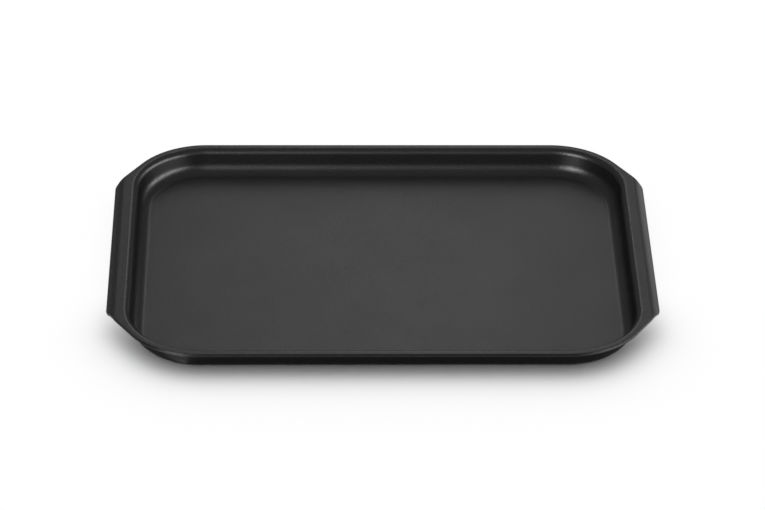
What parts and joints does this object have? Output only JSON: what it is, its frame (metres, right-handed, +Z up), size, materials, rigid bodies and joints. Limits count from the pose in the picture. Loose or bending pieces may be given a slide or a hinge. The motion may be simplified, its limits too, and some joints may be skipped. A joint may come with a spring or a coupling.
{
  "type": "roasting tray",
  "caption": "Shallow rectangular roasting tray with rounded corners, a flat rim, wing handles with sloping lips and a wired rolled edge, in a dark satin non-stick coating.",
  "frame": {"origin": "on the table, under the middle of the floor", "axes": "+Z up out of the mouth, X along the length from handle to handle, Y across the width"},
  "size_m": [0.4, 0.28, 0.0194],
  "materials": {
    "nonstick_coating": "satin, fine orange-peel texture",
    "wire_steel": "plain drawn wire"
  },
  "bodies": {
    "root": {"tray_pan": "nonstick_coating", "rim_wire": "wire_steel"}
  },
  "joints": []
}
